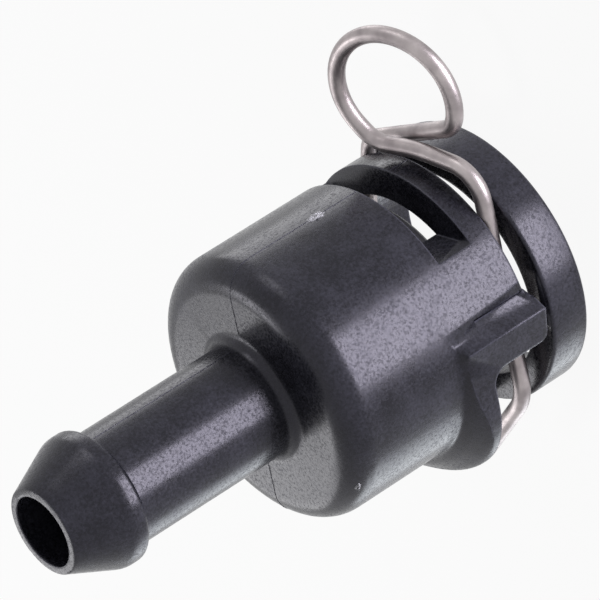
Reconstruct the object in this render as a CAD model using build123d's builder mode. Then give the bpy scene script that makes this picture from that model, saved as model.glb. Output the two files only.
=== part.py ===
from build123d import *
import math
import os

# Female quick disconnect coupling: a one-piece nylon body that ends in a hose
# barb, a sprung wire clip with a finger ring, and the seal stack in the bore.
# Millimetres. The part stands on its mouth face: the bore axis is Z, z = 0 is
# the mouth plane, the clip is pulled along +X and its legs lie at +Y and -Y.

# ---- housing ----
housing_radius = 9.8
shoulder_wall = 1.6  # between the bore's inner end and the shoulder's front face
shoulder_round = 2.12
shoulder_root_round = 0.8
cut_margin = 1.0  # how far a cutting shape runs past what it cuts

# ---- hose barb nipple ----
nipple_length = 18.3
tube_radius = 4.15
flow_radius = 2.6
barb_step = 0.72  # how far the barb's crest stands above the tube
barb_length = 5.1
barb_cone_height = 3.8
barb_rim_width = 0.55
barb_crest_round = 1.8
barb_back_round = 0.45
barb_rim_round = 0.15

# ---- mouth flange ----
flange_radius = 9.85
flange_thickness = 3.15
flange_round = 0.25

# ---- bore for the mating spigot and its seals ----
mouth_radius = 7.8
pilot_radius = 6.0
pilot_length = 3.0
pilot_cone_height = 0.6

# ---- clip slot, band and window on the ring side ----
band_low = 5.1
band_high = 6.6
band_inner_high = 7.0  # the band thickens towards the bore
window_high = 9.5
window_floor_x = 6.5
upper_half_x = 2.7  # the band and window walls stop here

# ---- flared skirt round the lower half ----
skirt_rim_z = 9.2
skirt_flare_top = 11.8
skirt_half_width = 10.35
skirt_bottom_x = -10.6
skirt_corner = 7.0
skirt_flare_mid_low = (11.75, 9.75)
skirt_flare_mid = (11.1, 10.4)
skirt_flare_mid_high = (10.25, 11.1)
skirt_flare_rim_radius = 11.95

# ---- guard arms beside the clip legs ----
arm_tip_z = 4.1
arm_low_x = -1.15
arm_inner_y = 8.9
arm_ridge_x = 1.0
arm_edge_y = 9.3  # where the sloping face meets the upper edge
arm_root_top = 10.75
arm_root_low_x = -2.6
arm_root_round = 1.2
arm_tip_round_high = 1.1
arm_tip_round_low = 0.7
side_web_outer_y = 9.7

# ---- bottom web between the skirt and the flange ----
web_half_width = 1.25
web_bottom_x = -9.6

# ---- wire clip ----
wire_radius = 0.6
wire_z = 4.2
leg_y = 6.5
vee_corner_x = -7.3
vee_end_x = -13.37
vee_end_y = 1.2
vee_bend_radius = 4.0
ring_radius = 4.53
ring_centre = (14.98, -0.2, 4.9)
ring_tilt = 16.6  # degrees about X, so that the two strands can cross
ring_start = 50.0
ring_stop = 283.0
near_ring_straight = 1.6
far_ring_straight = 1.05
# bends of the strand from the near leg (-Y) up to the ring, with their radii
near_shoulder_bend = (10.4, -6.35, 4.2)
near_neck_bend = (10.85, -1.2, 4.75)
near_bend_radii = (2.4, 12.0, 2.2)
# bends of the strand from the ring down to the far leg (+Y), with their radii
far_neck_bend = (10.5, 1.75, 3.5)
far_shoulder_bend = (9.55, 4.75, 4.1)
far_leg_bend = (3.5, 6.5, 4.2)
far_bend_radii = (1.9, 10.0, 1.6, 8.0)

# ---- seal stack ----
bush_low = 7.6
bush_height = 2.6
bush_wall = 1.73
bush_radial_clearance = 0.02
bush_bead_height = 0.32
bush_bead_depth = 0.22
bush_bead_drop = 0.14  # from the bush's upper face to the bead
bush_groove_clearance = 0.06
bush_edge_chamfer = 0.3
bush_lead_in = 0.7
seal_section_radius = 1.1
seal_radial_clearance = 0.01
seal_axial_clearance = 0.04
spacer_wall = 1.65
spacer_radial_clearance = 0.1
spacer_thickness = 1.2
gland_end_clearance = 0.08

# ---- radii and heights that follow ----
bush_outer_radius = mouth_radius - bush_radial_clearance
bush_inner_radius = bush_outer_radius - bush_wall
bush_high = bush_low + bush_height
bush_bead_high = bush_high - bush_bead_drop
bush_bead_low = bush_bead_high - bush_bead_height
bush_bead_radius = bush_outer_radius + bush_bead_depth
bush_groove_radius = bush_bead_radius + bush_groove_clearance
bush_groove_low = bush_bead_low - bush_groove_clearance
bush_groove_high = bush_bead_high + bush_groove_clearance
seal_outer_radius = mouth_radius - seal_radial_clearance
seal_ring_radius = seal_outer_radius - seal_section_radius
spacer_outer_radius = mouth_radius - spacer_radial_clearance
spacer_inner_radius = spacer_outer_radius - spacer_wall
outer_seal_z = bush_high + seal_axial_clearance + seal_section_radius
spacer_low = outer_seal_z + seal_section_radius + seal_axial_clearance
spacer_high = spacer_low + spacer_thickness
inner_seal_z = spacer_high + seal_axial_clearance + seal_section_radius
gland_end = inner_seal_z + seal_section_radius + gland_end_clearance
pilot_end = gland_end + pilot_length
flow_start = pilot_end + pilot_cone_height
housing_top = flow_start + shoulder_wall
total_length = housing_top + nipple_length
barb_crest_radius = tube_radius + barb_step
barb_rim_radius = flow_radius + barb_rim_width
barb_back_z = total_length - barb_length
barb_land_top = total_length - barb_cone_height


def at(x, y):
    """The corners of the sketch being drawn that lie at x, y in its plane."""
    return [v for v in vertices() if abs(v.X - x) < 0.01 and abs(v.Y - y) < 0.01]


# ---- coupling body ----
with BuildPart() as slot_cutter:
    # The window on the ring side: a flat floor, and a lower wall that rises
    # towards the bore.
    with BuildSketch(Plane.XZ):
        with BuildLine():
            Polyline(
                (window_floor_x - cut_margin, window_high),
                (window_floor_x - cut_margin, band_inner_high),
                (mouth_radius, band_inner_high),
                (housing_radius, band_high),
                (housing_radius + cut_margin, band_high),
                (housing_radius + cut_margin, window_high),
                close=True,
            )
        make_face()
    revolve(axis=Axis.Z)
    with Locations((window_floor_x, 0, 0)):
        Box(
            2 * housing_radius,
            3 * housing_radius,
            2 * total_length,
            align=(Align.MIN, Align.CENTER, Align.CENTER),
            mode=Mode.INTERSECT,
        )

with BuildPart() as skirt:
    # A rounded-square collar, trimmed to the concave flare of its outside.
    with BuildSketch(Plane.XY.offset(skirt_rim_z)):
        with Locations((skirt_bottom_x, 0)):
            Rectangle(
                upper_half_x - skirt_bottom_x,
                2 * skirt_half_width,
                align=(Align.MIN, Align.CENTER),
            )
        fillet(
            at(skirt_bottom_x, skirt_half_width) + at(skirt_bottom_x, -skirt_half_width),
            radius=skirt_corner,
        )
    extrude(amount=skirt_flare_top - skirt_rim_z)
    with BuildSketch(Plane.XZ):
        with BuildLine():
            Spline(
                (skirt_flare_rim_radius, skirt_rim_z),
                skirt_flare_mid_low,
                skirt_flare_mid,
                skirt_flare_mid_high,
                (housing_radius, skirt_flare_top),
                tangents=((0, 1), (0, 1)),
            )
            Polyline(
                (housing_radius, skirt_flare_top),
                (0, skirt_flare_top),
                (0, skirt_rim_z),
                (skirt_flare_rim_radius, skirt_rim_z),
            )
        make_face()
    revolve(axis=Axis.Z, mode=Mode.INTERSECT)

with BuildPart() as guard_arms:
    # Side outline of an arm, drawn as height over x, then made to full width.
    with BuildSketch(Plane.XZ):
        with BuildLine():
            Polyline(
                (upper_half_x, arm_root_top),
                (upper_half_x, arm_tip_z),
                (arm_low_x, arm_tip_z),
                (arm_low_x, skirt_rim_z),
                (arm_root_low_x, skirt_rim_z),
                (arm_root_low_x, arm_root_top),
                close=True,
            )
        make_face()
        fillet(at(upper_half_x, arm_tip_z), radius=arm_tip_round_high)
        fillet(at(arm_low_x, arm_tip_z), radius=arm_tip_round_low)
        fillet(at(arm_low_x, skirt_rim_z), radius=arm_root_round)
    extrude(amount=skirt_half_width, both=True)
    with BuildSketch(Plane.XZ):
        with Locations((0, flange_thickness / 2)):
            Rectangle(
                4 * housing_radius,
                4 * total_length,
            )
    extrude(amount=arm_inner_y, both=True, mode=Mode.SUBTRACT)
    with Locations(
        ((upper_half_x + arm_low_x) / 2, arm_inner_y, 0),
        ((upper_half_x + arm_low_x) / 2, -side_web_outer_y, 0),
    ):
        # The inner layer of each arm runs on to carry the flange.
        Box(
            upper_half_x - arm_low_x,
            side_web_outer_y - arm_inner_y,
            skirt_rim_z,
            align=(Align.CENTER, Align.MIN, Align.MIN),
        )

with BuildPart() as edge_cutter:
    # Takes the sloping face off the upper edge of both arms and the skirt.
    with BuildSketch(Plane.XY):
        for side in (1, -1):
            with BuildLine():
                Polyline(
                    (arm_ridge_x, side * skirt_half_width),
                    (upper_half_x, side * arm_edge_y),
                    (upper_half_x + cut_margin, side * arm_edge_y),
                    (upper_half_x + cut_margin, side * (skirt_half_width + cut_margin)),
                    (arm_ridge_x, side * (skirt_half_width + cut_margin)),
                    close=True,
                )
            make_face()
    extrude(amount=total_length)

with BuildPart() as skirt_with_arms:
    add(skirt.part)
    add(guard_arms.part)
    add(edge_cutter.part, mode=Mode.SUBTRACT)

with BuildPart() as coupling_body:
    # Housing with band, shoulder, nipple and barb in one turned shape.
    with BuildSketch(Plane.XZ):
        with BuildLine():
            Polyline(
                (0, band_low),
                (housing_radius, band_low),
                (housing_radius, housing_top),
                (tube_radius, housing_top),
                (tube_radius, barb_back_z),
                (barb_crest_radius, barb_back_z),
                (barb_crest_radius, barb_land_top),
                (barb_rim_radius, total_length),
                (0, total_length),
                close=True,
            )
        make_face()
        fillet(at(housing_radius, housing_top), radius=shoulder_round)
        fillet(at(tube_radius, housing_top), radius=shoulder_root_round)
        fillet(at(barb_crest_radius, barb_back_z), radius=barb_back_round)
        fillet(at(barb_crest_radius, barb_land_top), radius=barb_crest_round)
        fillet(at(barb_rim_radius, total_length), radius=barb_rim_round)
    revolve(axis=Axis.Z)
    # The lower half is open between the skirt rim and the flange.
    with Locations((upper_half_x, 0, skirt_rim_z)):
        Box(
            4 * housing_radius,
            4 * housing_radius,
            2 * (skirt_rim_z - band_low),
            align=(Align.MAX, Align.CENTER, Align.MAX),
            mode=Mode.SUBTRACT,
        )
    add(skirt_with_arms.part)
    # Web that carries the flange at the bottom, inside the vee of the clip.
    with Locations((web_bottom_x, 0, 0)):
        Box(
            mouth_radius - 0.5,
            2 * web_half_width,
            skirt_rim_z,
            align=(Align.MIN, Align.CENTER, Align.MIN),
        )
    # End flange, turned with its rounded edges.
    with BuildSketch(Plane.XZ):
        with Locations((0, 0)):
            Rectangle(
                flange_radius,
                flange_thickness,
                align=(Align.MIN, Align.MIN),
            )
        fillet(
            at(flange_radius, 0) + at(flange_radius, flange_thickness),
            radius=flange_round,
        )
    revolve(axis=Axis.Z)
    add(slot_cutter.part, mode=Mode.SUBTRACT)
    # Everything the spigot and the seals go through, cut in one turn.
    with BuildSketch(Plane.XZ):
        with BuildLine():
            Polyline(
                (0, 0),
                (mouth_radius, 0),
                (mouth_radius, bush_groove_low),
                (bush_groove_radius, bush_groove_low),
                (bush_groove_radius, bush_groove_high),
                (mouth_radius, bush_groove_high),
                (mouth_radius, gland_end),
                (pilot_radius, gland_end),
                (pilot_radius, pilot_end),
                (flow_radius, flow_start),
                (flow_radius, total_length),
                (0, total_length),
                close=True,
            )
        make_face()
    revolve(axis=Axis.Z, mode=Mode.SUBTRACT)

# ---- wire clip ----
def on_ring(degrees):
    """A point of the finger ring, counted from its lowest point."""
    turn = math.radians(degrees)
    tilt = math.radians(ring_tilt)
    across = ring_radius * math.sin(turn)
    return Vector(
        ring_centre[0] - ring_radius * math.cos(turn),
        ring_centre[1] + across * math.cos(tilt),
        ring_centre[2] + across * math.sin(tilt),
    )


with BuildPart() as retaining_clip:
    with BuildLine() as clip_path:
        ring = ThreePointArc(
            on_ring(ring_start),
            on_ring((ring_start + ring_stop) / 2),
            on_ring(ring_stop),
        )
        FilletPolyline(
            (vee_end_x, -vee_end_y, wire_z),
            (vee_corner_x, -leg_y, wire_z),
            near_shoulder_bend,
            near_neck_bend,
            ring @ 0 - (ring % 0) * near_ring_straight,
            ring @ 0,
            radius=[vee_bend_radius, *near_bend_radii],
        )
        FilletPolyline(
            ring @ 1,
            ring @ 1 + (ring % 1) * far_ring_straight,
            far_neck_bend,
            far_shoulder_bend,
            far_leg_bend,
            (vee_corner_x, leg_y, wire_z),
            (vee_end_x, vee_end_y, wire_z),
            radius=[*far_bend_radii, vee_bend_radius],
        )
    # The wire is drawn straight by straight and bend by bend.
    for edge in clip_path.edges():
        with BuildSketch(Plane(origin=edge @ 0, z_dir=edge % 0)):
            Circle(wire_radius)
        sweep(path=edge)

# ---- seal stack ----
with BuildPart() as seal_retainer:
    with BuildSketch(Plane.XZ):
        with BuildLine():
            Polyline(
                (bush_inner_radius + bush_lead_in, bush_low),
                (bush_outer_radius - bush_edge_chamfer, bush_low),
                (bush_outer_radius, bush_low + bush_edge_chamfer),
                (bush_outer_radius, bush_bead_low),
                (bush_bead_radius, bush_bead_low),
                (bush_bead_radius, bush_bead_high),
                (bush_outer_radius, bush_bead_high),
                (bush_outer_radius, bush_high),
                (bush_inner_radius, bush_high),
                (bush_inner_radius, bush_low + bush_lead_in),
                close=True,
            )
        make_face()
    revolve(axis=Axis.Z)

with BuildPart() as o_ring_outer:
    with BuildSketch(Plane.XZ):
        with Locations((seal_ring_radius, outer_seal_z)):
            Circle(seal_section_radius)
    revolve(axis=Axis.Z)

with BuildPart() as spacer_ring:
    with BuildSketch(Plane.XZ):
        with Locations((spacer_inner_radius, spacer_low)):
            Rectangle(
                spacer_wall,
                spacer_thickness,
                align=(Align.MIN, Align.MIN),
            )
    revolve(axis=Axis.Z)

with BuildPart() as o_ring_inner:
    with BuildSketch(Plane.XZ):
        with Locations((seal_ring_radius, inner_seal_z)):
            Circle(seal_section_radius)
    revolve(axis=Axis.Z)

coupling_body.part.label = "coupling_body"
retaining_clip.part.label = "retaining_clip"
seal_retainer.part.label = "seal_retainer"
o_ring_outer.part.label = "o_ring_outer"
spacer_ring.part.label = "spacer_ring"
o_ring_inner.part.label = "o_ring_inner"

os.makedirs("parts", exist_ok=True)
export_step(coupling_body.part, "parts/coupling_body.step")
export_step(retaining_clip.part, "parts/retaining_clip.step")
export_step(seal_retainer.part, "parts/seal_retainer.step")
export_step(o_ring_outer.part, "parts/o_ring_outer.step")
export_step(spacer_ring.part, "parts/spacer_ring.step")
export_step(o_ring_inner.part, "parts/o_ring_inner.step")
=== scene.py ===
import math

import bmesh
import bpy
from mathutils import Matrix, Vector


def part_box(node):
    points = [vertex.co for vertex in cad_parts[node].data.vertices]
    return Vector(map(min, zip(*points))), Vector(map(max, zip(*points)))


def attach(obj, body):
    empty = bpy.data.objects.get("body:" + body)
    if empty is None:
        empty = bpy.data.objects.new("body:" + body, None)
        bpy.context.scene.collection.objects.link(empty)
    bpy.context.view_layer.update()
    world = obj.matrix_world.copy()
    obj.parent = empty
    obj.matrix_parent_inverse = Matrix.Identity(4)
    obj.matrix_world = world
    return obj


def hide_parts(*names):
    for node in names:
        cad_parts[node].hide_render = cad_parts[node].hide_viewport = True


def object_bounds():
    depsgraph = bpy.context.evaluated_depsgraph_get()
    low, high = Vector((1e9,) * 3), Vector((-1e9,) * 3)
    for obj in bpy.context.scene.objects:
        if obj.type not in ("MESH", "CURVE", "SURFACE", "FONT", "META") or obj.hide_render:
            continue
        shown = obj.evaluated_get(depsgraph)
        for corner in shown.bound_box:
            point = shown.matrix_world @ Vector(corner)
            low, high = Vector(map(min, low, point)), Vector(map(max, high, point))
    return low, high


# Looks of the quick disconnect coupling. Metres, in the frame of the packed
# model: the bore axis is Z, and the clip is pulled along +X.

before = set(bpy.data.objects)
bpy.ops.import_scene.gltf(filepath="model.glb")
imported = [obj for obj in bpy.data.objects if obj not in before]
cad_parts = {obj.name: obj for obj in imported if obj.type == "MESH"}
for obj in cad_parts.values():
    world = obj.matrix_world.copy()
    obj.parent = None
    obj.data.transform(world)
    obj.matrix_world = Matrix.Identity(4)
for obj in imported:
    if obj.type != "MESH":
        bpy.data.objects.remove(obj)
cad_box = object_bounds()

MM = 0.001
PER_METRE = 1000.0  # turns object coordinates into millimetres for textures

# ---- sizes of the body: its height is read from the frame, the others repeat its source ----
tip_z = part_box("coupling_body")[1].z
NIPPLE_LENGTH = 18.3 * MM
SHOULDER_ROUND = 2.12 * MM
HOUSING_RADIUS = 9.8 * MM
BORE_RADIUS = 7.8 * MM
TUBE_RADIUS = 4.15 * MM
TUBE_ROOT_ROUND = 0.8 * MM
BARB_LENGTH = 5.1 * MM  # from the tip to the back of the barb
WINDOW_HIGH_Z = 9.5 * MM
BAND_HIGH_Z = 6.6 * MM
BAND_LOW_Z = 5.1 * MM
FLANGE_TOP_Z = 3.15 * MM
FLANGE_RADIUS = 9.85 * MM
FLANGE_ROUND = 0.25 * MM
ARM_LOW_X = -1.15 * MM
ARM_HIGH_X = 2.7 * MM
ARM_RIDGE_X = 1.0 * MM
ARM_OUTER_Y = 10.35 * MM
ARM_EDGE_Y = 9.3 * MM
ARM_TIP_Z = 4.1 * MM
ARM_TIP_ROUND_HIGH = 1.1 * MM
ARM_TIP_ROUND_LOW = 0.7 * MM
shoulder_z = tip_z - NIPPLE_LENGTH


# ---- node helpers ----
class Nodes:
    """A material's node tree with short calls to add and join nodes."""

    COLOUR_A, COLOUR_B, COLOUR_RESULT = 6, 7, 2  # sockets of a mix node that mixes colours

    def __init__(self, name):
        self.material = bpy.data.materials.new(name)
        self.material.use_nodes = True
        self.tree = self.material.node_tree
        self.shader = self.tree.nodes["Principled BSDF"]
        coordinates = self.tree.nodes.new("ShaderNodeTexCoord")
        scaled = self.tree.nodes.new("ShaderNodeVectorMath")
        scaled.operation = "SCALE"
        scaled.inputs["Scale"].default_value = PER_METRE
        self.join(coordinates.outputs["Object"], scaled.inputs[0])
        self.place = scaled.outputs[0]

    def join(self, source, target):
        self.tree.links.new(source, target)

    def feed(self, name, source):
        """Joins a node's output to the shader's input of that name."""
        self.join(source, self.shader.inputs[name])

    def fix(self, name, value):
        """Gives the shader's input of that name one value all over."""
        self.shader.inputs[name].default_value = value

    def noise(self, scale, detail=2.0, roughness=0.5):
        node = self.tree.nodes.new("ShaderNodeTexNoise")
        node.inputs["Scale"].default_value = scale
        node.inputs["Detail"].default_value = detail
        node.inputs["Roughness"].default_value = roughness
        self.join(self.place, node.inputs["Vector"])
        return node.outputs["Fac"]

    def cells(self, scale):
        node = self.tree.nodes.new("ShaderNodeTexVoronoi")
        node.inputs["Scale"].default_value = scale
        self.join(self.place, node.inputs["Vector"])
        return node.outputs["Distance"]

    def ramp(self, source, span, values=(0.0, 1.0)):
        """Goes from the first of values to the last while source crosses the span."""
        node = self.tree.nodes.new("ShaderNodeMapRange")
        node.clamp = True
        for name, value in zip(("From Min", "From Max", "To Min", "To Max"), (*span, *values)):
            node.inputs[name].default_value = value
        self.join(source, node.inputs["Value"])
        return node.outputs["Result"]

    def maths(self, operation, first, second):
        node = self.tree.nodes.new("ShaderNodeMath")
        node.operation = operation
        for socket, value in zip(node.inputs, (first, second)):
            if isinstance(value, (int, float)):
                socket.default_value = value
            else:
                self.join(value, socket)
        return node.outputs[0]

    def mix(self, amount, first, second):
        node = self.tree.nodes.new("ShaderNodeMix")
        node.data_type = "RGBA"
        self.join(amount, node.inputs["Factor"])
        for socket, value in ((self.COLOUR_A, first), (self.COLOUR_B, second)):
            if isinstance(value, tuple):
                node.inputs[socket].default_value = (*value, 1.0)
            else:
                self.join(value, node.inputs[socket])
        return node.outputs[self.COLOUR_RESULT]

    def bump(self, height, strength, distance, normal=None):
        node = self.tree.nodes.new("ShaderNodeBump")
        node.inputs["Strength"].default_value = strength
        node.inputs["Distance"].default_value = distance
        self.join(height, node.inputs["Height"])
        if normal is not None:
            self.join(normal, node.inputs["Normal"])
        self.feed("Normal", node.outputs["Normal"])

    def rounded_normal(self, radius, samples):
        """A normal that rounds the edges, and the cosine of its turn from the plain one."""
        soft = self.tree.nodes.new("ShaderNodeBevel")
        soft.samples = samples
        soft.inputs["Radius"].default_value = radius
        plain = self.tree.nodes.new("ShaderNodeNewGeometry")
        turned = self.tree.nodes.new("ShaderNodeVectorMath")
        turned.operation = "DOT_PRODUCT"
        self.join(soft.outputs["Normal"], turned.inputs[0])
        self.join(plain.outputs["Normal"], turned.inputs[1])
        return soft.outputs["Normal"], turned.outputs["Value"]


# ---- materials: texture scales are features per millimetre ----
NOISE_MIDDLE = (0.3, 0.7)  # most of a noise's values lie here
EDGE_ROUND = 0.22 * MM  # the small round that every moulded edge has
EDGE_SAMPLES = 6
WEAR_AND_HIGHLIGHT_SPAN = (0.98, 0.80)  # cosines of an edge's turn where the wear and painted edge highlight start and are full
WEAR_AND_HIGHLIGHT_SHARE = 0.75
WEAR_AND_HIGHLIGHT_LIGHTER = 3.6  # how many times lighter than the light colour an edge is, as wear and as painted highlight
GRAIN_SCALE = 4.6
GRAIN_DEPTH = 0.02 * MM
MOTTLE_SPAN = (0.36, 0.72)
FIBRE_SCALE = 3.6
FIBRE_SPAN = (0.0, 0.35)
FIBRE_HEIGHTS = (0.5, 0.0)
SPECK_SCALE = 5.2
SPECK_SPAN = (0.46, 0.64)
PATCH_SCALE = 0.30
PATCH_CONTRASTS = (0.7, 1.25)
PATCH_ROUGHNESSES = (-0.04, 0.05)  # added to the roughness that the specks give
PLASTIC_TINT = (0.90, 0.88, 1.0, 1.0)
PLASTIC_SPECULAR = 0.33

STEEL_BRIGHT = (0.41, 0.370, 0.372)
STEEL_DULL = (0.24, 0.212, 0.218)
STEEL_GRAIN_SCALE = 9.0
STEEL_DULL_SCALE = 0.6
STEEL_DULL_SPAN = (0.35, 0.7)
STEEL_ROUGHNESSES = (0.33, 0.47)

RUBBER_DARK = (0.010, 0.010, 0.011)
RUBBER_LIGHT = (0.022, 0.022, 0.023)
RUBBER_GRAIN_SCALE = 12.0
RUBBER_ROUGHNESSES = (0.5, 0.65)


def moulded_plastic(name, dark, light, grain_strength, rough_low, rough_high):
    """Glass-filled nylon: near black satin with a fibrous grain, dull specks, and edges lightened
    as wear and as a painted highlight.
    """
    m = Nodes(name)
    grain = m.noise(GRAIN_SCALE, detail=4.0, roughness=0.7)
    patches = m.noise(PATCH_SCALE, detail=4.0, roughness=0.6)

    fibres = m.ramp(m.cells(FIBRE_SCALE), FIBRE_SPAN, FIBRE_HEIGHTS)
    normal, turn = m.rounded_normal(EDGE_ROUND, EDGE_SAMPLES)
    m.bump(m.maths("ADD", grain, fibres), grain_strength, GRAIN_DEPTH, normal)

    mottle = m.maths("MULTIPLY", grain, m.ramp(patches, NOISE_MIDDLE, PATCH_CONTRASTS))
    moulded = m.mix(m.ramp(mottle, MOTTLE_SPAN), dark, light)
    # Every edge is lightened, partly as rubbed wear and partly as a painted highlight along its
    # round.
    rubbed_and_highlit = tuple(WEAR_AND_HIGHLIGHT_LIGHTER * part for part in light)
    wear_and_highlight = m.maths("MULTIPLY", m.ramp(turn, WEAR_AND_HIGHLIGHT_SPAN), WEAR_AND_HIGHLIGHT_SHARE)
    m.feed("Base Color", m.mix(wear_and_highlight, moulded, rubbed_and_highlit))

    specks = m.ramp(m.noise(SPECK_SCALE, detail=4.0, roughness=0.7), SPECK_SPAN)
    rough = m.maths("ADD", rough_low, m.maths("MULTIPLY", specks, rough_high - rough_low))
    uneven = m.ramp(patches, NOISE_MIDDLE, PATCH_ROUGHNESSES)
    m.feed("Roughness", m.maths("ADD", rough, uneven))
    m.fix("Specular Tint", PLASTIC_TINT)
    m.fix("Specular IOR Level", PLASTIC_SPECULAR)
    return m.material


def drawn_steel(name):
    """Stainless wire: satin, finely mottled, with some darker stretches."""
    m = Nodes(name)
    grain = m.noise(STEEL_GRAIN_SCALE)
    stretches = m.ramp(m.noise(STEEL_DULL_SCALE, detail=3.0), STEEL_DULL_SPAN)
    m.feed("Base Color", m.mix(stretches, STEEL_BRIGHT, STEEL_DULL))
    m.feed("Roughness", m.ramp(grain, NOISE_MIDDLE, STEEL_ROUGHNESSES))
    m.fix("Metallic", 1.0)
    m.bump(grain, strength=0.12, distance=0.006 * MM)
    return m.material


def seal_rubber(name):
    """Smooth matt nitrile rubber."""
    m = Nodes(name)
    grain = m.noise(RUBBER_GRAIN_SCALE)
    m.feed("Base Color", m.mix(grain, RUBBER_DARK, RUBBER_LIGHT))
    m.feed("Roughness", m.ramp(grain, NOISE_MIDDLE, RUBBER_ROUGHNESSES))
    m.bump(grain, strength=0.15, distance=0.01 * MM)
    return m.material


body_plastic = moulded_plastic(
    "body_nylon",
    dark=(0.006, 0.006, 0.009),
    light=(0.034, 0.034, 0.046),
    grain_strength=0.18,
    rough_low=0.21,
    rough_high=0.46,
)
bush_plastic = moulded_plastic(
    "bush_nylon",
    dark=(0.022, 0.022, 0.024),
    light=(0.045, 0.045, 0.048),
    grain_strength=0.35,
    rough_low=0.45,
    rough_high=0.6,
)
torn_plastic = moulded_plastic(
    "torn_nylon",
    dark=(0.040, 0.040, 0.046),
    light=(0.320, 0.320, 0.340),
    grain_strength=0.60,
    rough_low=0.45,
    rough_high=0.65,
)
spring_steel = drawn_steel("spring_wire_steel")
rubber = seal_rubber("seal_nitrile")

finishes = {
    "coupling_body": body_plastic,
    "retaining_clip": spring_steel,
    "seal_retainer": bush_plastic,
    "spacer_ring": bush_plastic,
    "o_ring_outer": rubber,
    "o_ring_inner": rubber,
}
for node_name, material in finishes.items():
    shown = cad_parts[node_name]
    shown.data.materials.clear()
    shown.data.materials.append(material)


# ---- form helpers ----
def round_points(centre_a, centre_b, radius, start, stop, steps):
    """Points of an arc in a plane, from start to stop in degrees."""
    turns = [math.radians(start + (stop - start) * k / steps) for k in range(steps + 1)]
    return [(centre_a + radius * math.cos(t), centre_b + radius * math.sin(t)) for t in turns]


def finished(mesh, name):
    """An object of the form in mesh, which is freed."""
    bmesh.ops.recalc_face_normals(mesh, faces=mesh.faces)
    data = bpy.data.meshes.new(name)
    mesh.to_mesh(data)
    mesh.free()
    made = bpy.data.objects.new(name, data)
    bpy.context.scene.collection.objects.link(made)
    return made


def put_on_body(piece, material):
    """Gives a piece its look and lets it ride on the moulded body."""
    piece.data.materials.clear()
    piece.data.materials.append(material)
    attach(piece, "coupling")


# ---- dressed body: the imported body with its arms, flange rim and band finished ----
TRIM = 0.02 * MM  # keeps a cut clear of the faces it must leave alone
CUT_MARGIN = 1.0 * MM  # how far a cutter runs past what it cuts
CUT_INNER_Y = 8.8 * MM  # just inside the inner faces of the arms
ABOVE_SKIRT_Z = 12.0 * MM  # just above the skirt that the arms grow from
CUT_ROUND_STEPS = 8
RIM_ROUND_STEPS = 6
RIM_STEPS = 160
RIDGE_SHIFT = Vector((0.26, 0.28)) * MM  # outward along X, and away from the axis in Y
UPPER_EDGE_SHIFT = Vector((-0.42, -0.56)) * MM
FACET_SLACK = 0.02  # share of the facet's width by which a vertex may lie past its edges
FOOT_SEARCH_STEPS = 40
BAND_HALF_ANGLE = math.radians(75)
BAND_EDGE_DROP = 0.27 * MM
WELD_DISTANCE = 0.0005 * MM
SPLIT_DISTANCE = 0.0001 * MM
SHARP_ANGLE = math.radians(28)


def extruded_cutter(name, outline, low_y, high_y):
    """A closed cutter whose outline is given as (x, z), from low_y to high_y."""
    mesh = bmesh.new()
    near = [mesh.verts.new((x, low_y, z)) for x, z in outline]
    far = [mesh.verts.new((x, high_y, z)) for x, z in outline]
    mesh.faces.new(near)
    mesh.faces.new(reversed(far))
    for k in range(len(outline)):
        following = (k + 1) % len(outline)
        mesh.faces.new((near[k], far[k], far[following], near[following]))
    return finished(mesh, name)


def turned_cutter(name, outline):
    """A closed ring cutter whose outline is given as (radius, z)."""
    mesh = bmesh.new()
    rings = []
    for step in range(RIM_STEPS):
        turn = 2 * math.pi * step / RIM_STEPS
        ring = [(r * math.cos(turn), r * math.sin(turn), z) for r, z in outline]
        rings.append([mesh.verts.new(point) for point in ring])
    for k in range(RIM_STEPS):
        here, following = rings[k], rings[(k + 1) % RIM_STEPS]
        for m in range(len(outline)):
            after = (m + 1) % len(outline)
            mesh.faces.new((here[m], here[after], following[after], following[m]))
    return finished(mesh, name)


def below_arm_outline():
    """The gap that the photo shows between an arm's tip and the flange, as (x, z)."""
    high_centre = (ARM_HIGH_X - ARM_TIP_ROUND_HIGH, ARM_TIP_Z + ARM_TIP_ROUND_HIGH)
    low_centre = (ARM_LOW_X + ARM_TIP_ROUND_LOW, ARM_TIP_Z + ARM_TIP_ROUND_LOW)
    return [
        (ARM_LOW_X - TRIM, FLANGE_TOP_Z + TRIM),
        (ARM_HIGH_X + TRIM, FLANGE_TOP_Z + TRIM),
        (ARM_HIGH_X + TRIM, ARM_TIP_Z + ARM_TIP_ROUND_HIGH),
        *round_points(*high_centre, ARM_TIP_ROUND_HIGH, 0, -90, CUT_ROUND_STEPS),
        *round_points(*low_centre, ARM_TIP_ROUND_LOW, -90, -180, CUT_ROUND_STEPS),
        (ARM_LOW_X - TRIM, ARM_TIP_Z + ARM_TIP_ROUND_LOW),
    ]


def rim_outline():
    """What lies outside the flange's round rim, as (radius, z)."""
    past = FLANGE_RADIUS + CUT_MARGIN
    inner = FLANGE_RADIUS - TRIM - FLANGE_ROUND
    return [
        (inner, -CUT_MARGIN),
        (past, -CUT_MARGIN),
        (past, FLANGE_TOP_Z + 2 * TRIM),
        (inner, FLANGE_TOP_Z + 2 * TRIM),
        *round_points(inner, FLANGE_TOP_Z - FLANGE_ROUND, FLANGE_ROUND, 90, 0, RIM_ROUND_STEPS),
        *round_points(inner, FLANGE_ROUND, FLANGE_ROUND, 0, -90, RIM_ROUND_STEPS),
    ]


def body_cutters():
    """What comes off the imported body: below both arms, and round the flange's rim."""
    below_arm = below_arm_outline()
    reach = ARM_OUTER_Y + CUT_MARGIN
    return [
        extruded_cutter("cut_near", below_arm, -reach, -CUT_INNER_Y),
        extruded_cutter("cut_far", below_arm, CUT_INNER_Y, reach),
        turned_cutter("cut_rim", rim_outline()),
    ]


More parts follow.
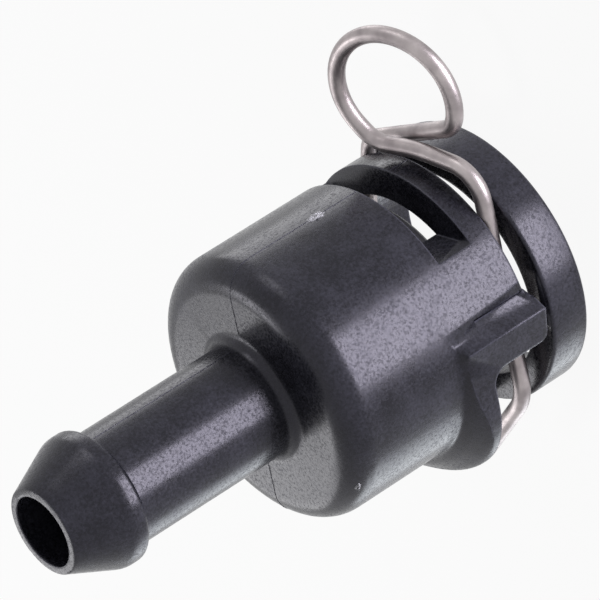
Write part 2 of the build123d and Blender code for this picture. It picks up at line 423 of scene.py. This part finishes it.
def cut_away(piece, cutter):
    """Subtracts the cutter from the piece's mesh, and removes the cutter."""
    cut = piece.modifiers.new(cutter.name, "BOOLEAN")
    cut.operation = "DIFFERENCE"
    cut.solver = "EXACT"
    cut.object = cutter
    bpy.context.view_layer.update()
    evaluated = piece.evaluated_get(bpy.context.evaluated_depsgraph_get())
    result = bpy.data.meshes.new_from_object(evaluated)
    piece.modifiers.clear()
    piece.data = result
    bpy.data.objects.remove(cutter)


def facet_foot():
    """Where the turned facet of an arm meets the round of the housing, as (x, y)."""
    ridge = Vector((ARM_RIDGE_X, ARM_OUTER_Y)) + RIDGE_SHIFT
    upper = Vector((ARM_HIGH_X, ARM_EDGE_Y)) + UPPER_EDGE_SHIFT
    low, high = 0.0, 1.0
    for _ in range(FOOT_SEARCH_STEPS):
        middle = 0.5 * (low + high)
        if ridge.lerp(upper, middle).length > HOUSING_RADIUS:
            low = middle
        else:
            high = middle
    return ridge.lerp(upper, low)


def shift_arm_edges(data):
    """Turns each arm's upper facet so that it faces the ring side."""
    run = Vector((ARM_HIGH_X - ARM_RIDGE_X, ARM_EDGE_Y - ARM_OUTER_Y))
    foot = facet_foot()
    for vertex in data.vertices:
        x, y, z = vertex.co
        side = 1 if y > 0 else -1
        on_arm = ARM_TIP_Z - TRIM < z < ABOVE_SKIRT_Z and abs(y) > ARM_EDGE_Y - TRIM
        if not on_arm:
            continue
        from_ridge = Vector((x - ARM_RIDGE_X, abs(y) - ARM_OUTER_Y))
        off_facet = abs(from_ridge.x * run.y - from_ridge.y * run.x) / run.length
        share = from_ridge.dot(run) / run.length_squared
        if off_facet > TRIM or not -FACET_SLACK < share < 1 + FACET_SLACK:
            continue
        shift = RIDGE_SHIFT.lerp(UPPER_EDGE_SHIFT, min(max(share, 0.0), 1.0))
        shifted = Vector((x, abs(y))) + shift
        on_housing = math.hypot(x, y) > HOUSING_RADIUS - TRIM and z > BAND_LOW_Z - TRIM
        if on_housing and shifted.length < HOUSING_RADIUS:
            shifted = foot
        vertex.co.x = shifted.x
        vertex.co.y = side * shifted.y


def lower_band_edge(data):
    """Brings the band's lower edge down, nearer to where the photo shows it."""
    for vertex in data.vertices:
        x, y, z = vertex.co
        facing = abs(math.atan2(y, x)) < BAND_HALF_ANGLE
        outside_bore = math.hypot(x, y) > BORE_RADIUS - TRIM
        if facing and outside_bore and abs(z - BAND_LOW_Z) < TRIM:
            vertex.co.z -= BAND_EDGE_DROP


def welded_copy(data):
    """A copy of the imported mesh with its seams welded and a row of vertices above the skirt."""
    copy = data.copy()
    mesh = bmesh.new()
    mesh.from_mesh(copy)
    bmesh.ops.remove_doubles(mesh, verts=mesh.verts, dist=WELD_DISTANCE)
    # The row keeps the housing round above the skirt when the arms' facets turn.
    bmesh.ops.bisect_plane(
        mesh,
        geom=[*mesh.verts, *mesh.edges, *mesh.faces],
        dist=SPLIT_DISTANCE,
        plane_co=(0, 0, ABOVE_SKIRT_Z),
        plane_no=(0, 0, 1),
    )
    mesh.to_mesh(copy)
    mesh.free()
    return copy


def dressed_body():
    """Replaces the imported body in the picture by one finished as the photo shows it."""
    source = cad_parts["coupling_body"]
    piece = bpy.data.objects.new("coupling_body_dressed", welded_copy(source.data))
    bpy.context.scene.collection.objects.link(piece)
    for cutter in body_cutters():
        cut_away(piece, cutter)
    shift_arm_edges(piece.data)
    lower_band_edge(piece.data)
    for face in piece.data.polygons:
        face.use_smooth = True
    piece.data.set_sharp_from_angle(angle=SHARP_ANGLE)
    put_on_body(piece, body_plastic)
    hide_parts("coupling_body")


dressed_body()


# ---- parting line: the flash where the two mould halves met ----
FLASH_HALF_WIDTH = 0.045 * MM
FLASH_HEIGHT = 0.035 * MM
FLASH_SINK = 0.05 * MM
FLASH_ROUND_STEPS = 10
FLASH_END_GAP = 0.1 * MM  # how far the flash stops short of an edge or a round
LOWER_FLASH_END_Z = 12.2 * MM  # above the skirt
BAND_FLASH_GAP = 0.05 * MM
BAND_FLASH_DROP = 0.15 * MM  # the band's edge comes down further than its flash
FLASH_SECTION = (
    (-FLASH_SINK, -FLASH_HALF_WIDTH),
    (0.0, -FLASH_HALF_WIDTH),
    (FLASH_HEIGHT, 0.0),
    (0.0, FLASH_HALF_WIDTH),
    (-FLASH_SINK, FLASH_HALF_WIDTH),
)


def outward_from(outline, index):
    """The outward direction at one point of an outline given as (radius, z)."""
    before = outline[max(index - 1, 0)]
    after = outline[min(index + 1, len(outline) - 1)]
    along = Vector((after[0] - before[0], after[1] - before[1])).normalized()
    outward = Vector((along.y, -along.x))
    return -outward if outward.x + outward.y < 0 else outward


def parting_flash(name, side, outline):
    """A fine ridge that follows outline, given as (radius, z), on one side."""
    mesh = bmesh.new()
    rings = []
    for index, (radius, z) in enumerate(outline):
        outward = outward_from(outline, index)
        ring = [
            (side * (radius + outward.x * lift), across, z + outward.y * lift)
            for lift, across in FLASH_SECTION
        ]
        rings.append([mesh.verts.new(point) for point in ring])
    count = len(FLASH_SECTION)
    for first, second in zip(rings, rings[1:]):
        for k in range(count):
            after = (k + 1) % count
            mesh.faces.new((first[k], first[after], second[after], second[k]))
    mesh.faces.new(rings[0])
    mesh.faces.new(reversed(rings[-1]))
    put_on_body(finished(mesh, name), body_plastic)


shoulder_centre = (HOUSING_RADIUS - SHOULDER_ROUND, shoulder_z - SHOULDER_ROUND)
past_root = TUBE_ROOT_ROUND + FLASH_END_GAP
shoulder_outline = [
    *round_points(*shoulder_centre, SHOULDER_ROUND, 0, 90, FLASH_ROUND_STEPS),
    (TUBE_RADIUS + past_root, shoulder_z),
]
tube_outline = [
    (TUBE_RADIUS, shoulder_z + past_root),
    (TUBE_RADIUS, tip_z - BARB_LENGTH - FLASH_END_GAP),
]
above_window = (HOUSING_RADIUS, WINDOW_HIGH_Z + FLASH_END_GAP)
above_skirt = (HOUSING_RADIUS, LOWER_FLASH_END_Z)
band_outline = [
    (HOUSING_RADIUS, BAND_LOW_Z - BAND_FLASH_DROP),
    (HOUSING_RADIUS, BAND_HIGH_Z - BAND_FLASH_GAP),
]
parting_flash("parting_line_upper", 1, [above_window, *shoulder_outline])
parting_flash("parting_line_lower", -1, [above_skirt, *shoulder_outline])
parting_flash("parting_line_tube_upper", 1, tube_outline)
parting_flash("parting_line_tube_lower", -1, tube_outline)
parting_flash("parting_line_band", 1, band_outline)


# ---- torn spots: the gate where the mould was fed, and a fleck on the shoulder ----
SPOT_RINGS = 6
SPOT_STEPS = 26
SPOT_SKIRT = 0.12 * MM
SPOT_EDGE_SINK = 0.03 * MM
LOBE_COUNT = 3
LOBE_SWELL = 0.16  # how far the lobes swell the outline, as a share of its reach
NICK_COUNT = 7
NICK_DEPTH = 0.11


def spot_row(mesh, share, shape, place):
    """One ring of vertices of a torn spot, at a share of its reach from the centre."""
    reach_along, reach_across, height, turned = shape
    row = []
    for step in range(SPOT_STEPS if share else 1):
        turn = 2 * math.pi * step / SPOT_STEPS
        lobes = LOBE_SWELL * math.sin(LOBE_COUNT * turn + 1.0 + turned)
        ragged = 1 + lobes + NICK_DEPTH * math.sin(NICK_COUNT * turn)
        # Two waves that cross tear the top unevenly, and it sinks towards its edge.
        torn = 0.5 + 0.5 * math.sin(5 * turn + 11 * share) * math.cos(6 * share + 2 * turn)
        lift = height * torn * (1 - share**4) - SPOT_EDGE_SINK * share
        along = reach_along * share * ragged * math.cos(turn)
        across = reach_across * share * ragged * math.sin(turn)
        fall = across * across / (2 * HOUSING_RADIUS)  # follows the round of the housing
        row.append(mesh.verts.new(place(along, across, lift - fall)))
    return row


def torn_spot(name, centre, outward, along, reach_along, reach_across, height, turned=0.0):
    """A ragged raised spot on a round surface, longer in the direction along."""
    outward = outward.normalized()
    side = outward.cross(along).normalized()
    length = side.cross(outward)

    def place(u, v, lift):
        return centre + length * u + side * v + outward * lift

    mesh = bmesh.new()
    shape = (reach_along, reach_across, height, turned)
    rows = [spot_row(mesh, ring / SPOT_RINGS, shape, place) for ring in range(SPOT_RINGS + 1)]
    skirt = [mesh.verts.new(v.co - outward * SPOT_SKIRT) for v in rows[-1]]
    for step in range(SPOT_STEPS):
        following = (step + 1) % SPOT_STEPS
        mesh.faces.new((rows[0][0], rows[1][step], rows[1][following]))
        for first, second in zip(rows[1:], [*rows[2:], skirt]):
            mesh.faces.new((first[step], second[step], second[following], first[following]))
    mesh.faces.new(skirt)
    put_on_body(finished(mesh, name), torn_plastic)


GATE_Z = 13.2 * MM
torn_spot(
    "gate_mark",
    centre=Vector((HOUSING_RADIUS, 0, GATE_Z)),
    outward=Vector((1, 0, 0)),
    along=Vector((0, 0, 1)),
    reach_along=0.85 * MM,
    reach_across=0.42 * MM,
    height=0.17 * MM,
)
torn_spot(
    "shoulder_fleck",
    centre=Vector((-4.57 * MM, -8.24 * MM, 20.28 * MM)),
    outward=Vector((-0.41, -0.72, 0.56)),
    along=Vector((0.87, -0.49, 0.0)),
    reach_along=0.38 * MM,
    reach_across=0.19 * MM,
    height=0.20 * MM,
    turned=0.7,
)


# ---- floor and world: pale, and white to the camera and to what mirrors them ----
FLOOR_HALF = 3.0
FLOOR_GAP = 0.02 * MM
FLOOR_PALE = (0.84, 0.84, 0.85)
FLOOR_PALER = (0.86, 0.86, 0.86)
FLOOR_SPECK_SCALE = 0.05
FLOOR_WHITE_SHARE = 0.92
WORLD_LIGHT = 0.24
BACKGROUND_RAYS = ("Is Camera Ray", "Is Glossy Ray", "Is Transmission Ray")


def background_ray(tree):
    """1 for the rays that show the background, and 0 for those that light the part."""
    path = tree.nodes.new("ShaderNodeLightPath")
    total = path.outputs[BACKGROUND_RAYS[0]]
    for ray in BACKGROUND_RAYS[1:]:
        add = tree.nodes.new("ShaderNodeMath")
        add.operation = "ADD"
        add.use_clamp = True
        tree.links.new(total, add.inputs[0])
        tree.links.new(path.outputs[ray], add.inputs[1])
        total = add.outputs[0]
    return total


def floor_material():
    """Pale and matt, and nearly all white light to the rays that show the background."""
    m = Nodes("floor_white")
    m.feed("Base Color", m.mix(m.noise(FLOOR_SPECK_SCALE), FLOOR_PALE, FLOOR_PALER))
    m.fix("Roughness", 0.9)
    lit = m.tree.nodes.new("ShaderNodeEmission")
    lit.inputs["Strength"].default_value = 1.0
    blend = m.tree.nodes.new("ShaderNodeMixShader")
    m.join(m.maths("MULTIPLY", background_ray(m.tree), FLOOR_WHITE_SHARE), blend.inputs[0])
    m.join(m.shader.outputs[0], blend.inputs[1])
    m.join(lit.outputs[0], blend.inputs[2])
    m.join(blend.outputs[0], m.tree.nodes["Material Output"].inputs["Surface"])
    return m.material


def floor_plane():
    """The floor just below the part, on stage but not part of it."""
    corners = [
        (-FLOOR_HALF, -FLOOR_HALF, 0),
        (FLOOR_HALF, -FLOOR_HALF, 0),
        (FLOOR_HALF, FLOOR_HALF, 0),
        (-FLOOR_HALF, FLOOR_HALF, 0),
    ]
    mesh = bpy.data.meshes.new("floor")
    mesh.from_pydata(corners, [], [(0, 1, 2, 3)])
    mesh.materials.append(floor_material())
    plane = bpy.data.objects.new("floor", mesh)
    bpy.context.scene.collection.objects.link(plane)
    plane.location.z = cad_box[0][2] - FLOOR_GAP
    # The floor takes the part's shadow, but lets the lamps below it through.
    plane.visible_shadow = False
    plane.visible_glossy = False


def studio_world():
    """Even surroundings: dim where they light the part, and white where they show."""
    world = bpy.data.worlds.new("studio")
    bpy.context.scene.world = world
    world.use_nodes = True
    tree = world.node_tree
    background = tree.nodes["Background"]
    background.inputs["Color"].default_value = (1, 1, 1, 1)
    strength = tree.nodes.new("ShaderNodeMapRange")
    strength.inputs["To Min"].default_value = WORLD_LIGHT
    strength.inputs["To Max"].default_value = 1.0
    tree.links.new(background_ray(tree), strength.inputs["Value"])
    tree.links.new(strength.outputs[0], background.inputs["Strength"])


floor_plane()
studio_world()


# ---- lights: the photographed part lies down, so some stand below the upright one ----
LAMP_DISTANCE = 0.30
WHITE = (1, 1, 1)
VIOLET_WHITE = (0.95, 0.92, 1.0)
BLUE_WHITE = (0.90, 0.96, 1.0)
# Name, azimuth and elevation in degrees, width and height in metres, watts, colour.
SOFTBOXES = (
    ("side_softbox", 290, -29, 0.22, 0.12, 1.15, VIOLET_WHITE),
    ("shoulder_softbox", 138, 27, 0.15, 0.15, 0.20, WHITE),
    ("ring_softbox", 60, -24, 0.13, 0.13, 0.13, WHITE),
    ("low_softbox", 182, -22, 0.16, 0.16, 0.22, BLUE_WHITE),
    ("front_softbox", 102, 52, 0.10, 0.10, 0.18, WHITE),
    ("top_softbox", 12, 4, 0.12, 0.12, 0.12, WHITE),
)


def towards(azimuth, elevation):
    """A direction in the part's frame, azimuth from +X towards +Y."""
    flat = math.cos(math.radians(elevation))
    return Vector(
        (
            flat * math.cos(math.radians(azimuth)),
            flat * math.sin(math.radians(azimuth)),
            math.sin(math.radians(elevation)),
        )
    )


def softbox(name, azimuth, elevation, width, height, watts, colour):
    """A rectangular area lamp that faces the middle of the part."""
    light = bpy.data.lights.new(name, "AREA")
    light.shape = "RECTANGLE"
    light.size = width
    light.size_y = height
    light.energy = watts
    light.color = colour
    lamp = bpy.data.objects.new(name, light)
    bpy.context.scene.collection.objects.link(lamp)
    out = towards(azimuth, elevation).normalized()
    lamp.location = Vector((0, 0, 0.5 * tip_z)) + out * LAMP_DISTANCE
    lamp.rotation_mode = "QUATERNION"
    lamp.rotation_quaternion = out.to_track_quat("Z", "Y")


for settings in SOFTBOXES:
    softbox(*settings)


# ---- camera at the photograph's viewing angle ----
CAMERA_LENS = 386.22
CAMERA_SENSOR = 36.0
CAMERA_CLIP = (0.01, 20.0)
CAMERA_PLACE = Vector((0.22222125, -0.29934469, 0.22317001))
CAMERA_RIGHT = Vector((-0.18760532, -0.64775371, -0.73838972))
CAMERA_UP = Vector((0.83778054, 0.28690966, -0.46454990))
CAMERA_BACK = Vector((0.51276507, -0.70576057, 0.48884967))


def photo_camera():
    """The camera, turned and placed so that the part lies as in the photograph."""
    data = bpy.data.cameras.new("camera")
    data.lens = CAMERA_LENS
    data.sensor_width = CAMERA_SENSOR
    data.clip_start, data.clip_end = CAMERA_CLIP
    camera = bpy.data.objects.new("camera", data)
    bpy.context.scene.collection.objects.link(camera)
    pose = Matrix((CAMERA_RIGHT, CAMERA_UP, CAMERA_BACK)).transposed().to_4x4()
    pose.translation = CAMERA_PLACE
    camera.matrix_world = pose
    bpy.context.scene.camera = camera


photo_camera()
bpy.context.scene.view_settings.view_transform = "Standard"
